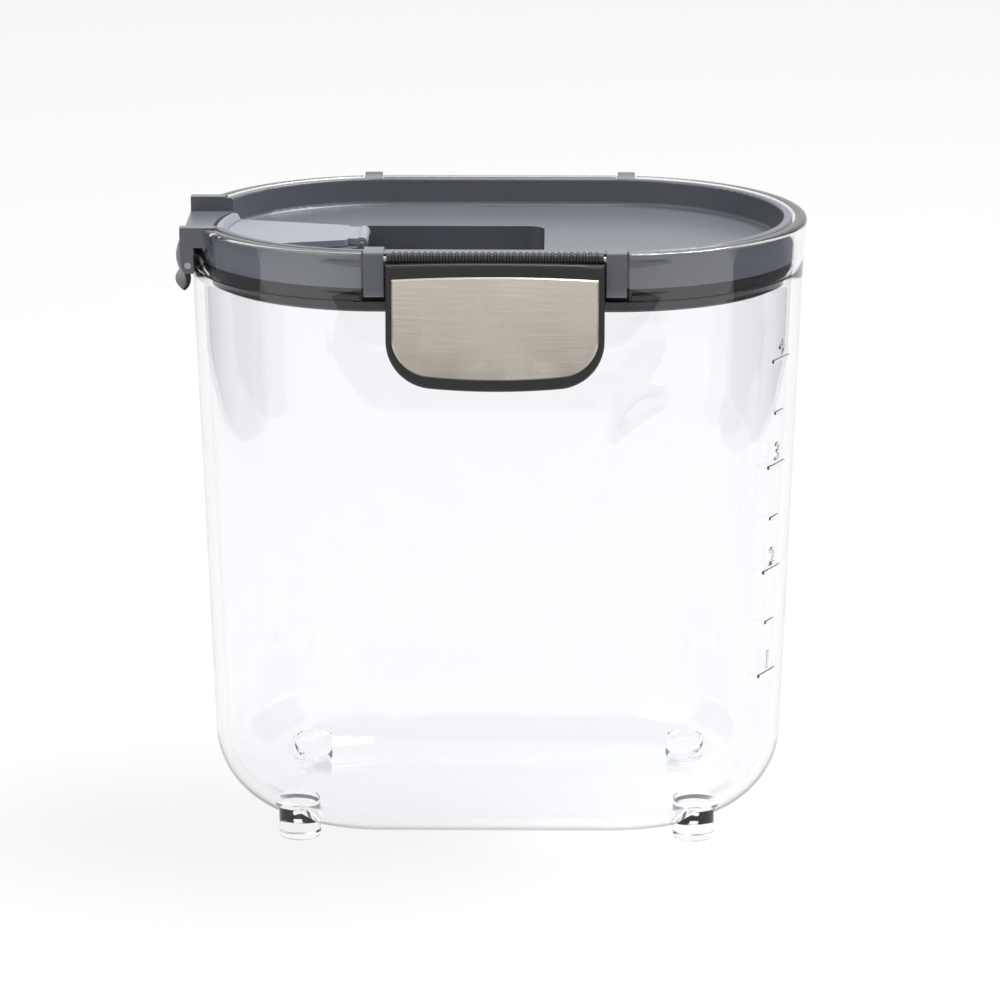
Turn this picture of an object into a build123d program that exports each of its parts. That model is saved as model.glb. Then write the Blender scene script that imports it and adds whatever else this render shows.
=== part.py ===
from build123d import *
import os
from math import asin, cos, degrees, radians, sin, sqrt

# A clear oval sugar canister with a hinged, latched pour lid. All sizes are in millimetres.
# +Z is up, the front latch faces -Y and the pouring end is at -X. The pieces are drawn about the
# middle of the oval, and are moved at the end so that the origin is on the ground below the
# middle of the whole outline.

# Clear container
half_straight = 28.0  # half of the straight run of the oval plan
rim_radius = 48.0  # end radius of the wall at the rim
rim_height = 152.4
rim_flare = 0.7  # how far the rim stands out from the wall below it
flare_height = 8.0
rim_rounding = 0.9
wall_taper = 4.9  # how far the wall leans in down to the underside
wall = 2.8
collar_wall = 3.0  # wall above the ledge that the gasket meets
ledge_depth = 12.0  # ledge below the rim
floor_thickness = 3.0
base_rounding = 20.0
foot_height = 1.4
foot_radius = 5.2
foot_rounding = 0.8
foot_inset = 14.7  # foot inwards of the rim's end radius
foot_angle = 51.34

# Measuring marks on the +X end
mark_angle = -28.0
mark_proud = 0.35
mark_thickness = 0.8
long_mark = 9.0
short_mark = 4.5
first_mark_height = 41.0
mark_pitch = 26.7
mark_count = 4

# Hand recess in the front and back walls
grip_offset = 15.0  # from the end of the straight run
grip_radius = 18.5
grip_drop = 33.4  # top of the arch below the rim
grip_depth = 0.7

# Lid
lid_gap = 0.7  # between the lid's skirt and the collar
lid_rim_width = 2.1
lid_wall = 2.0
lid_outer_rounding = 0.7
lid_inner_rounding = 0.5
tray_depth = 6.8
tray_floor = 1.8
tray_draft = 0.4
tray_rounding = 1.2
skirt_depth = 8.9
plug_depth = 15.0
plug_step = 2.1  # gasket ring inwards of the skirt
plug_wall = 1.8
well_length = 47.0
well_width = 33.2
well_depth = 6.4
well_heel = 2.3  # well beyond the door's axis
well_rounding = 4.0

# Gasket
gasket_flange_step = 0.3  # inwards of the lid's outer radius
gasket_plug_step = 0.9
gasket_lead = 0.4
gasket_clearance = 0.1
gasket_seat = 0.3

# Back hinge
hinge_drop = 1.7
hinge_reach = 4.3  # axis outwards of the collar's bore
hinge_radius = 2.1
hinge_pin_radius = 1.0
bracket_half_width = 29.6
bracket_height = 9.0
bracket_lip = 1.0
bracket_inset = 0.2
ear_gap = 0.4
hinge_ear_width = 4.4
hinge_notch_depth = 5.6

# Running fits
press_clearance = 0.02
running_clearance = 0.06

# Front latch
latch_width = 51.8
latch_height = 30.7
latch_top = 1.6
latch_corner = 11.5
latch_thickness = 2.6
latch_face_reach = 3.7  # face in front of the pin's axis
latch_skirt = 1.5
latch_skirt_wall = 1.6
latch_crown = 0.4
latch_edge_rounding = 0.8
latch_barrel_setback = 0.3
latch_axis_reach = 1.6  # axis outwards of the rim
latch_axis_drop = 0.9
latch_barrel_radius = 1.55
latch_rib_proud = 0.3
latch_rib_pitch = 1.5
latch_rib_count = 33
latch_pin_radius = 0.75
latch_ear_width = 4.8
latch_ear_gap = 0.4
latch_ear_height = 11.0
latch_ear_top = 1.0
latch_ear_front = 1.9  # ear beyond the pin's axis
latch_ear_low_rounding = 2.0
latch_ear_top_rounding = 0.6
latch_ear_lap = 1.0
bridge_gap = 0.4
latch_notch_gap = 0.6
latch_notch_depth = 11.6
hook_width = 36.0
hook_height = 1.4
hook_drop = 23.2
hook_gap = 0.6
catch_proud = 1.9
plate_width = 49.0
plate_top = 5.0
plate_bottom = 29.4
plate_sag = 2.0
plate_corner = 9.5
plate_thickness = 0.9
plate_proud = 0.45
plate_gap = 0.1
plate_crown = 0.7
plate_bevel = 0.35

# Spout block over the -X end of the rim
channel_half_width = 17.5
channel_depth = 3.3
spout_overhang = 0.8  # block beyond the rim
spout_side = 2.9
spout_bottom = 4.6
spout_top = 0.3
spout_notch_depth = 7.4
spout_notch_gap = 0.6

# Spout end latch
end_pivot_drop = 9.0
end_pin_radius = 0.8
end_barrel_radius = 1.6
end_barrel_gap = 0.45  # barrel to the container's wall
end_barrel_length = 2.2
end_ear_bottom = 11.0
end_ear_gap = 0.4
end_ear_back = 1.4
end_ear_toe = 0.8
end_ear_chamfer = 1.6
end_ear_lap = 1.0
end_latch_half = 16.64
end_hook_angle = 10.0
end_hook_drop = 12.0
end_hook_height = 1.0
end_hook_reach = 0.4  # hook inwards of the rim's radius
end_hook_root = 1.7
end_catch_gap = 0.7
end_catch_proud = 0.95
# Outer and inner sides of the end latch, as (distance outside the rim, depth below it)
end_latch_outer = [(1.8, 6.0), (3.0, 8.6), (3.1, 10.6), (2.4, 13.2), (2.4, 14.2), (3.4, 15.6)]
end_latch_inner = [(0.7, 6.3), (1.4, 8.8), (1.4, 10.6), (1.1, 12.8), (1.4, 14.5), (2.8, 16.0)]

# Spout door
door_axis_offset = 5.2  # axis beyond the end of the straight run
door_axis_lift = 0.6  # axis above the tray floor
door_barrel_radius = 1.5
door_barrel_length = 14.0
door_pin_radius = 0.7
door_rise = 1.8  # top of the door above the tray floor
door_lift = 0.2
door_nose_gap = 0.5
door_nose_half = 16.0
door_heel_half = 8.6
door_heel_offset = 3.4  # heel beyond the axis
door_corner = 1.6
door_lip_height = 1.8
door_lip_width = 2.6
door_lip_half = 14.8
door_lip_chamfer = 0.4
door_lip_back = 0.9
door_lug_width = 2.6
door_lug_gap = 0.3
door_lug_heel = 0.5
door_lug_rise = 1.0
door_lug_crown = 1.3
door_lug_reach = 1.5
door_lug_drop = 1.2
hole_inset = 3.4
hole_heel_offset = 7.3  # hole beyond the axis
hole_corner = 2.0
seal_gap = 0.5
seal_depth = 3.0
seal_wall = 1.6
seal_web = 1.2

neck_radius = rim_radius - rim_flare
base_radius = neck_radius - wall_taper
collar_radius = rim_radius - collar_wall
lid_radius = collar_radius - lid_gap
tray_radius = lid_radius - lid_rim_width
tray_floor_radius = tray_radius - tray_draft
plug_radius = lid_radius - plug_step
tray_floor_z = rim_height - tray_depth
tray_under_z = tray_floor_z - tray_floor
ledge_z = rim_height - ledge_depth
hinge_y = collar_radius + hinge_reach
hinge_z = rim_height - hinge_drop
latch_axis_y = -rim_radius - latch_axis_reach
latch_axis_z = rim_height - latch_axis_drop
latch_front_y = latch_axis_y - latch_face_reach
end_pivot_z = rim_height - end_pivot_drop
door_axis_x = -half_straight - door_axis_offset
door_axis_z = tray_floor_z + door_axis_lift
latch_half = latch_width / 2
latch_ear_inner = latch_half + latch_ear_gap
latch_ear_outer = latch_ear_inner + latch_ear_width
hinge_ear_inner = bracket_half_width + ear_gap
hinge_ear_outer = hinge_ear_inner + hinge_ear_width


def wall_radius(height):
    # End radius of the container's outer wall below the flare
    top = rim_height - flare_height
    share = (height - foot_height) / (top - foot_height)
    return base_radius + (neck_radius - base_radius) * share


def nearest(sketch, across, up):
    # The vertex of a sketch that is closest to a place on its plane
    return sketch.vertices().sort_by_distance(Vector(across, up, 0))[0]


def oval(outline, roundings=()):
    # A closed outline of (radius, height) points swept round the oval plan. Each rounding is
    # (radius, height, size of the fillet) at one of the outline's corners.
    with BuildPart() as swept:
        with BuildSketch(Plane.YZ.offset(half_straight)) as section:
            with BuildLine():
                Polyline(*outline, close=True)
            make_face()
            for place_r, place_z, size in roundings:
                fillet(nearest(section, place_r, place_z), size)
        revolve(axis=Axis((half_straight, 0, 0), (0, 0, -1)), revolution_arc=180)
        mirror(about=Plane.YZ)
        straight_run = extrude(section.sketch, amount=-2 * half_straight)
        mirror(straight_run, about=Plane.XZ)
    return swept.part


def outer_body(inset):
    # The outside of the container, moved inwards by inset
    outline = [
        (0, foot_height),
        (base_radius - inset, foot_height),
        (neck_radius - inset, rim_height - flare_height),
        (rim_radius - inset, rim_height),
        (0, rim_height),
    ]
    return oval(
        outline,
        [
            (base_radius - inset, foot_height, base_rounding),
            (rim_radius - inset, rim_height, rim_rounding),
        ],
    )


def end_ring(points, angle):
    # A closed outline of (radius, height) turned round the axis of the -X end, both ways by angle
    with BuildPart() as ring:
        with BuildSketch(Plane.XZ) as section:
            with BuildLine():
                Polyline(*[(-half_straight - r, z) for r, z in points], close=True)
            make_face()
        revolve(axis=Axis((-half_straight, 0, 0), (0, 0, 1)), revolution_arc=2 * angle)
    return ring.part.rotate(Axis((-half_straight, 0, 0), (0, 0, 1)), -angle)


inner_floor_z = foot_height + floor_thickness
foot_circle = rim_radius - foot_inset
foot_x = half_straight + foot_circle * cos(radians(foot_angle))
foot_y = foot_circle * sin(radians(foot_angle))
ledge_bore = wall_radius(ledge_z) - wall
outer = outer_body(0)
cavity = oval(
    [
        (0, inner_floor_z),
        (wall_radius(inner_floor_z) - wall, inner_floor_z),
        (ledge_bore, ledge_z),
        (collar_radius, ledge_z),
        (collar_radius, rim_height + 1),
        (0, rim_height + 1),
    ],
    [(wall_radius(inner_floor_z) - wall, inner_floor_z, base_rounding - wall)],
)

# Hand recess: a thin layer of the wall inside an arch, which thins out round the base
with BuildPart() as grip_arch:
    with BuildSketch(Plane.XZ) as arch:
        grip_x = half_straight + grip_offset
        grip_arch_z = rim_height - grip_drop - grip_radius
        with Locations((grip_x, grip_arch_z)):
            Circle(grip_radius)
        with Locations((grip_x, grip_arch_z / 2)):
            Rectangle(2 * grip_radius, grip_arch_z)
    extrude(amount=2 * rim_radius, both=True)
grip_layer = (outer - outer_body(grip_depth)) & grip_arch.part

# Measuring marks: slices of a layer just proud of the wall
mark_layer = outer_body(-mark_proud)
mark_direction = (cos(radians(mark_angle)), sin(radians(mark_angle)), 0)
with BuildPart() as mark_bars:
    for step in range(2 * mark_count - 1):
        length = short_mark if step % 2 else long_mark
        height = first_mark_height + step * mark_pitch / 2
        centre = Vector(half_straight, 0, height) + Vector(*mark_direction) * wall_radius(height)
        with BuildSketch(Plane(centre, x_dir=(0, 0, 1), z_dir=mark_direction)):
            Rectangle(mark_thickness, length)
        extrude(amount=2 * wall, both=True)
marks = mark_bars.part & mark_layer

end_catch_z = rim_height - end_hook_drop + end_catch_gap
end_catch_root = wall_radius(end_catch_z) - wall / 2
end_catch_tip = wall_radius(end_catch_z) + end_catch_proud
end_catch = end_ring(
    [
        (end_catch_root, end_catch_z),
        (end_catch_tip, end_catch_z),
        (end_catch_tip, end_catch_z + end_hook_height),
        (end_catch_root, end_catch_z + 2 * end_hook_height),
    ],
    end_hook_angle,
)

with BuildPart() as container:
    add(outer)
    add(grip_layer, mode=Mode.SUBTRACT)
    # Feet under the rounded edge of the base
    with BuildSketch(Plane.XY):
        with GridLocations(2 * foot_x, 2 * foot_y, 2, 2):
            Circle(foot_radius)
    extrude(amount=foot_height + base_rounding / 2)
    fillet(container.edges().group_by(Axis.Z)[0], foot_rounding)
    add(marks)
    add(end_catch)
    # Bracket of the back hinge
    with BuildSketch(Plane.YZ.offset(-bracket_half_width)):
        with BuildLine():
            Polyline(
                (collar_radius + bracket_inset, rim_height),
                (hinge_y, rim_height),
                (hinge_y + hinge_radius, hinge_z),
                (hinge_y + hinge_radius, hinge_z - bracket_lip),
                (wall_radius(rim_height - bracket_height) - wall / 2, rim_height - bracket_height),
                close=True,
            )
        make_face()
        with Locations((hinge_y, hinge_z)):
            Circle(hinge_radius)
    extrude(amount=2 * bracket_half_width)
    add(cavity, mode=Mode.SUBTRACT)
    with BuildSketch(Plane.YZ.offset(-rim_radius)):
        with Locations((hinge_y, hinge_z)):
            Circle(hinge_pin_radius + press_clearance)
    extrude(amount=2 * rim_radius, mode=Mode.SUBTRACT)
    # Catch that holds the front latch
    catch_z = rim_height - hook_drop + hook_gap
    with BuildSketch(Plane.YZ.offset(-hook_width / 2)):
        with BuildLine():
            Polyline(
                (-wall_radius(catch_z) + wall / 2, catch_z),
                (-wall_radius(catch_z) - catch_proud, catch_z),
                (-wall_radius(catch_z) - catch_proud, catch_z + hook_height / 2),
                (-wall_radius(catch_z) + wall / 2, catch_z + 2 * hook_height),
                close=True,
            )
        make_face()
    extrude(amount=hook_width)
    # Cuts in the collar for the front ears, the hinge ears and the spout
    with BuildSketch(Plane.XY.offset(rim_height - latch_notch_depth)):
        with Locations((0, -rim_radius)):
            Rectangle(2 * (latch_ear_outer + latch_notch_gap), rim_radius / 2)
    extrude(amount=2 * latch_notch_depth, mode=Mode.SUBTRACT)
    with BuildSketch(Plane.XY.offset(rim_height - hinge_notch_depth)):
        with Locations((-bracket_half_width - hinge_ear_width / 2 - ear_gap, rim_radius),
                       (bracket_half_width + hinge_ear_width / 2 + ear_gap, rim_radius)):
            Rectangle(hinge_ear_width + 2 * ear_gap, rim_radius / 2)
    extrude(amount=2 * hinge_notch_depth, mode=Mode.SUBTRACT)
    with BuildSketch(Plane.XY.offset(rim_height - spout_notch_depth)):
        with Locations((-half_straight - rim_radius, 0)):
            Rectangle(rim_radius, 2 * (channel_half_width + spout_side + spout_notch_gap))
    extrude(amount=2 * spout_notch_depth, mode=Mode.SUBTRACT)
container.part.label = "container"

with BuildPart() as lid_hinge_pin:
    with BuildSketch(Plane.YZ.offset(-hinge_ear_outer)):
        with Locations((hinge_y, hinge_z)):
            Circle(hinge_pin_radius)
    extrude(amount=2 * hinge_ear_outer)
lid_hinge_pin.part.label = "lid_hinge_pin"

# Lid moulding: the tray with its skirt, and the ring below that holds the gasket
skirt_z = rim_height - skirt_depth
plug_z = rim_height - plug_depth
lid_round = oval(
    [
        (0, tray_under_z),
        (0, tray_floor_z),
        (tray_floor_radius, tray_floor_z),
        (tray_radius, rim_height),
        (lid_radius, rim_height),
        (lid_radius, skirt_z),
        (plug_radius, skirt_z),
        (plug_radius, plug_z),
        (plug_radius - plug_wall, plug_z),
        (plug_radius - plug_wall, tray_under_z),
    ],
    [
        (tray_floor_radius, tray_floor_z, tray_rounding),
        (tray_radius, rim_height, lid_inner_rounding),
        (lid_radius, rim_height, lid_outer_rounding),
    ],
)


def fan(nose_radius, nose_half, heel_half, heel_x, corner):
    # Plan of the spout door: a round nose that follows the tray wall, narrowing to its heel
    nose_x = -half_straight - sqrt(nose_radius**2 - nose_half**2)
    tip_x = -half_straight - nose_radius
    with BuildSketch() as plan:
        with BuildLine():
            ThreePointArc((nose_x, -nose_half), (tip_x, 0), (nose_x, nose_half))
            Line((nose_x, nose_half), (heel_x, heel_half))
            Line((heel_x, heel_half), (heel_x, -heel_half))
            Line((heel_x, -heel_half), (nose_x, -nose_half))
        make_face()
        fillet(plan.vertices(), corner)
    return plan.sketch


door_heel_x = door_axis_x - door_heel_offset
hole_heel_x = door_axis_x - hole_heel_offset
door_radius = tray_floor_radius - door_nose_gap
hole_radius = door_radius - hole_inset
hole_half = door_nose_half - hole_inset
door_outline = fan(door_radius, door_nose_half, door_heel_half, door_heel_x, door_corner)
hole_heel = door_heel_half - hole_inset / 2
hole_outline = fan(hole_radius, hole_half, hole_heel, hole_heel_x, hole_corner)
well_left = door_axis_x - well_heel
well_right = well_left + well_length
well_floor_z = tray_floor_z - well_depth
lug_inner = door_barrel_length / 2 + door_lug_gap
lug_outer = lug_inner + door_lug_width
spout_side_y = channel_half_width + spout_side
spout_outer_x = -half_straight - rim_radius - spout_overhang
barrel_outer_y = channel_half_width - end_ear_gap
barrel_inner_y = barrel_outer_y - end_barrel_length
wall_reach = sqrt(wall_radius(end_pivot_z) ** 2 - barrel_inner_y**2)
end_pivot_x = -half_straight - wall_reach - end_barrel_radius - end_barrel_gap

with BuildPart() as lid_shell:
    add(lid_round)
    # Pan of the well, with its walls below the tray
    with BuildSketch(Plane.XY.offset(well_floor_z - tray_floor)):
        with Locations(((well_left + well_right) / 2, 0)):
            RectangleRounded(well_length + 2 * lid_wall, well_width + 2 * lid_wall,
                             well_rounding + lid_wall)
    extrude(amount=well_depth + tray_floor)
    with BuildSketch(Plane.XY.offset(well_floor_z)):
        with Locations(((well_left + well_right) / 2, 0)):
            RectangleRounded(well_length, well_width, well_rounding)
    extrude(amount=well_depth + 1, mode=Mode.SUBTRACT)
    # Two lugs at the well's left end carry the door's pin
    with BuildSketch(Plane.XZ.offset(-lug_outer)):
        with BuildLine():
            Polyline(
                (well_left - door_lug_heel, well_floor_z),
                (well_left - door_lug_heel, door_axis_z + door_lug_rise),
                (door_axis_x, door_axis_z + door_lug_crown),
                (door_axis_x + door_lug_reach, door_axis_z + door_lug_crown / 2),
                (door_axis_x + door_lug_reach, door_axis_z - door_lug_drop),
                (door_axis_x, well_floor_z),
                close=True,
            )
        make_face()
    lug = extrude(amount=door_lug_width)
    mirror(lug, about=Plane.XZ)
    # Spout block that carries the pouring channel over the rim
    with BuildSketch(Plane.XY.offset(rim_height - spout_bottom)):
        spout_inner_x = -half_straight - tray_radius + lid_rim_width
        with Locations(((spout_outer_x + spout_inner_x) / 2, 0)):
            Rectangle(spout_inner_x - spout_outer_x, 2 * spout_side_y)
    extrude(amount=spout_bottom + spout_top)
    tray_cut = oval([(0, tray_floor_z), (tray_floor_radius, tray_floor_z),
                     (tray_radius, rim_height), (tray_radius, rim_height + 2),
                     (0, rim_height + 2)],
                    [(tray_floor_radius, tray_floor_z, tray_rounding)])
    add(tray_cut, mode=Mode.SUBTRACT)
    with BuildSketch(Plane.XY.offset(rim_height - channel_depth)):
        with Locations((spout_outer_x, 0)):
            Rectangle(2 * lid_radius - rim_radius, 2 * channel_half_width)
    extrude(amount=channel_depth + 1, mode=Mode.SUBTRACT)
    # Ears of the end latch
    with BuildSketch(Plane.XZ.offset(-spout_side_y)):
        with BuildLine():
            ear_right = end_pivot_x + end_ear_back
            ear_bottom = rim_height - end_ear_bottom
            ear_top = rim_height - spout_bottom + end_ear_lap
            Polyline(
                (spout_outer_x, ear_top),
                (ear_right, ear_top),
                (ear_right, ear_bottom),
                (end_pivot_x - end_ear_toe, ear_bottom),
                (end_pivot_x - end_ear_chamfer, ear_bottom + end_ear_chamfer),
                close=True,
            )
        make_face()
    end_ear = extrude(amount=spout_side)
    mirror(end_ear, about=Plane.XZ)
    # Ears of the front latch and the bridge between them
    with BuildSketch(Plane.YZ.offset(latch_ear_inner)) as ear_sketch:
        with BuildLine():
            ear_front = latch_axis_y - latch_ear_front
            ear_high = rim_height + latch_ear_top
            ear_low = ear_high - latch_ear_height
            Polyline(
                (-lid_radius + lid_wall, rim_height),
                (-lid_radius, ear_high),
                (ear_front, ear_high),
                (ear_front, ear_low),
                (-lid_radius - latch_ear_lap, ear_low),
                (-lid_radius - latch_ear_lap, skirt_z),
                (-lid_radius + lid_wall / 2, skirt_z),
                close=True,
            )
        make_face()
        fillet(nearest(ear_sketch, ear_front, ear_low), latch_ear_low_rounding)
        fillet(nearest(ear_sketch, ear_front, ear_high), latch_ear_top_rounding)
    front_ear = extrude(amount=latch_ear_width)
    mirror(front_ear, about=Plane.YZ)
    with BuildSketch(Plane.XY.offset(rim_height - latch_ear_height / 2)):
        bridge_front = latch_axis_y + latch_barrel_radius + latch_rib_proud + bridge_gap
        with Locations((0, (bridge_front - lid_radius + lid_wall / 2) / 2)):
            Rectangle(2 * latch_ear_inner, abs(bridge_front) - lid_radius + lid_wall / 2)
    extrude(amount=latch_ear_height / 2)
    # Ears of the back hinge
    with BuildSketch(Plane.YZ.offset(hinge_ear_inner)):
        with Locations((hinge_y, hinge_z)):
            Circle(hinge_radius)
        with Locations(((hinge_y + lid_radius - lid_wall) / 2, hinge_z)):
            Rectangle(hinge_y - lid_radius + lid_wall, 2 * hinge_drop)
    hinge_ear = extrude(amount=hinge_ear_width)
    mirror(hinge_ear, about=Plane.YZ)
    # Pour hole below the door
    with BuildSketch(Plane.XY.offset(tray_under_z - 1)):
        add(hole_outline)
    extrude(amount=tray_floor + 2, mode=Mode.SUBTRACT)
    # Pin bores
    with BuildSketch(Plane.YZ.offset(-rim_radius)):
        with Locations((hinge_y, hinge_z)):
            Circle(hinge_pin_radius + running_clearance)
        with Locations((latch_axis_y, latch_axis_z)):
            Circle(latch_pin_radius + press_clearance)
    extrude(amount=2 * rim_radius, mode=Mode.SUBTRACT)
    with BuildSketch(Plane.XZ.offset(-lug_outer)):
        with Locations((door_axis_x, door_axis_z)):
            Circle(door_pin_radius + press_clearance)
    extrude(amount=2 * lug_outer, mode=Mode.SUBTRACT)
    with BuildSketch(Plane.XZ.offset(-spout_side_y)):
        with Locations((end_pivot_x, end_pivot_z)):
            Circle(end_pin_radius + press_clearance)
    extrude(amount=2 * spout_side_y, mode=Mode.SUBTRACT)
lid_shell.part.label = "lid_shell"

gasket_bore = plug_radius + gasket_clearance
gasket_plug_radius = lid_radius - gasket_plug_step
gasket_flange_radius = lid_radius - gasket_flange_step
gasket_ring = oval(
    [
        (gasket_bore, plug_z + gasket_seat),
        (gasket_plug_radius, plug_z + gasket_seat + gasket_lead),
        (gasket_plug_radius, ledge_z + gasket_seat),
        (gasket_flange_radius, ledge_z + gasket_seat),
        (gasket_flange_radius, skirt_z - gasket_clearance),
        (gasket_bore, skirt_z - gasket_clearance),
    ]
)
with BuildPart() as lid_gasket:
    add(gasket_ring)
lid_gasket.part.label = "lid_gasket"


def latch_face(half_width, top, straight, low, corner, crown):
    # Front outline of the latch: straight sides, rounded lower corners, bowed upper and lower edges
    with BuildSketch() as face:
        with BuildLine():
            Line((-half_width, rim_height - top), (-half_width, rim_height - straight))
            ThreePointArc((-half_width, rim_height - straight), (0, rim_height - low),
                          (half_width, rim_height - straight))
            Line((half_width, rim_height - straight), (half_width, rim_height - top))
            ThreePointArc((half_width, rim_height - top), (0, rim_height - top + crown),
                          (-half_width, rim_height - top))
        make_face()
        fillet(face.vertices().group_by(Axis.Y)[0], corner)
    return face.sketch


latch_low = latch_top + latch_height
latch_outline = latch_face(latch_half, latch_top, latch_low - plate_sag, latch_low,
                           latch_corner, latch_crown)
latch_hollow = latch_face(latch_half - latch_skirt_wall, latch_top + latch_skirt_wall,
                          latch_low - plate_sag - latch_skirt_wall, latch_low - latch_skirt_wall,
                          latch_corner - latch_skirt_wall, latch_crown)
pocket_outline = latch_face(plate_width / 2 + plate_gap, plate_top - plate_gap,
                            plate_bottom - plate_sag + plate_gap, plate_bottom + plate_gap,
                            plate_corner + plate_gap, plate_crown)
plate_outline = latch_face(plate_width / 2, plate_top, plate_bottom - plate_sag, plate_bottom,
                           plate_corner, plate_crown)
latch_back_y = latch_front_y + latch_thickness
plate_back_y = latch_front_y + plate_thickness - plate_proud

# Half section of the ribbed barrel, as (place along the pin, radius)
barrel_end = latch_half - latch_barrel_setback
barrel_section = [(-barrel_end, 0), (-barrel_end, latch_barrel_radius)]
for rib in range(latch_rib_count):
    rib_x = (rib - (latch_rib_count - 1) / 2) * latch_rib_pitch
    barrel_section += [
        (rib_x - 0.3 * latch_rib_pitch, latch_barrel_radius),
        (rib_x - 0.15 * latch_rib_pitch, latch_barrel_radius + latch_rib_proud),
        (rib_x + 0.15 * latch_rib_pitch, latch_barrel_radius + latch_rib_proud),
        (rib_x + 0.3 * latch_rib_pitch, latch_barrel_radius),
    ]
barrel_section += [(barrel_end, latch_barrel_radius), (barrel_end, 0)]

with BuildPart() as front_latch:
    with BuildSketch(Plane.XZ.offset(-latch_back_y)):
        add(latch_outline)
    extrude(amount=latch_thickness)
    fillet(front_latch.faces().sort_by(Axis.Y)[0].edges(), latch_edge_rounding)
    # Side walls behind the face, and the hook that snaps under the container's catch
    with BuildSketch(Plane.XZ.offset(-latch_back_y - latch_skirt)):
        add(latch_outline)
        add(latch_hollow, mode=Mode.SUBTRACT)
    extrude(amount=latch_skirt)
    with BuildSketch(Plane.YZ.offset(-hook_width / 2)):
        with BuildLine():
            hook_tip_y = -wall_radius(catch_z) - hook_gap
            hook_top_z = rim_height - hook_drop
            Polyline(
                (latch_back_y - latch_thickness / 2, hook_top_z),
                (hook_tip_y, hook_top_z),
                (hook_tip_y, hook_top_z - hook_height / 2),
                (latch_back_y - latch_thickness / 2, hook_top_z - 2 * hook_height),
                close=True,
            )
        make_face()
    extrude(amount=hook_width)
    with BuildSketch(Plane((0, latch_axis_y, latch_axis_z), x_dir=(1, 0, 0), z_dir=(0, -1, 0))):
        with BuildLine():
            Polyline(*barrel_section, close=True)
        make_face()
    revolve(axis=Axis((0, latch_axis_y, latch_axis_z), (1, 0, 0)))
    with BuildSketch(Plane.XZ.offset(-plate_back_y)):
        add(pocket_outline)
    extrude(amount=plate_thickness, mode=Mode.SUBTRACT)
    with BuildSketch(Plane.YZ.offset(-latch_half)):
        with Locations((latch_axis_y, latch_axis_z)):
            Circle(latch_pin_radius + running_clearance)
    extrude(amount=latch_width, mode=Mode.SUBTRACT)
front_latch.part.label = "front_latch"

with BuildPart() as latch_plate:
    with BuildSketch(Plane.XZ.offset(-plate_back_y)):
        add(plate_outline)
    extrude(amount=plate_thickness)
    chamfer(latch_plate.faces().sort_by(Axis.Y)[0].edges(), plate_bevel)
latch_plate.part.label = "latch_plate"

with BuildPart() as front_latch_pin:
    with BuildSketch(Plane.YZ.offset(-latch_ear_outer)):
        with Locations((latch_axis_y, latch_axis_z)):
            Circle(latch_pin_radius)
    extrude(amount=2 * latch_ear_outer)
front_latch_pin.part.label = "front_latch_pin"

# Spout door, hinged at its narrow end and lifted by the lip at its nose
door_bottom_z = tray_floor_z + door_lift
door_top_z = tray_floor_z + door_rise
lip_top_z = door_top_z + door_lip_height
lip_inner = door_radius - door_lip_width
lip_angle = degrees(asin(door_lip_half / door_radius))
lip_points = [
    (lip_inner, door_bottom_z),
    (door_radius, door_bottom_z),
    (door_radius, lip_top_z - door_lip_chamfer),
    (door_radius - door_lip_chamfer, lip_top_z),
    (lip_inner + door_lip_back, lip_top_z),
    (lip_inner, door_top_z + door_lip_chamfer),
]
with BuildPart() as spout_door:
    with BuildSketch(Plane.XY.offset(door_bottom_z)):
        add(door_outline)
        with Locations(((door_heel_x + door_axis_x) / 2 - door_corner, 0)):
            Rectangle(door_axis_x - door_heel_x + 2 * door_corner, door_barrel_length)
    extrude(amount=door_top_z - door_bottom_z)
    add(end_ring(lip_points, lip_angle))
    with BuildSketch(Plane.XZ.offset(-door_barrel_length / 2)):
        with Locations((door_axis_x, door_axis_z)):
            Circle(door_barrel_radius)
    extrude(amount=door_barrel_length)
    with BuildSketch(Plane.XZ.offset(-door_barrel_length / 2)):
        with Locations((door_axis_x, door_axis_z)):
            Circle(door_pin_radius + running_clearance)
    extrude(amount=door_barrel_length, mode=Mode.SUBTRACT)
spout_door.part.label = "spout_door"

with BuildPart() as spout_door_pin:
    with BuildSketch(Plane.XZ.offset(-lug_outer)):
        with Locations((door_axis_x, door_axis_z)):
            Circle(door_pin_radius)
    extrude(amount=2 * lug_outer)
spout_door_pin.part.label = "spout_door_pin"

# Soft plug under the door that fills the pour hole
seal_outline = fan(hole_radius - seal_gap, hole_half - seal_gap, hole_heel - seal_gap,
                   hole_heel_x - seal_gap, hole_corner)
with BuildPart() as spout_seal:
    with BuildSketch(Plane.XY.offset(door_bottom_z)):
        add(seal_outline)
    extrude(amount=-seal_depth)
    with BuildSketch(Plane.XY.offset(door_bottom_z - seal_web)):
        add(seal_outline)
        offset(amount=-seal_wall, mode=Mode.REPLACE)
    extrude(amount=-seal_depth, mode=Mode.SUBTRACT)
spout_seal.part.label = "spout_seal"

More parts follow.
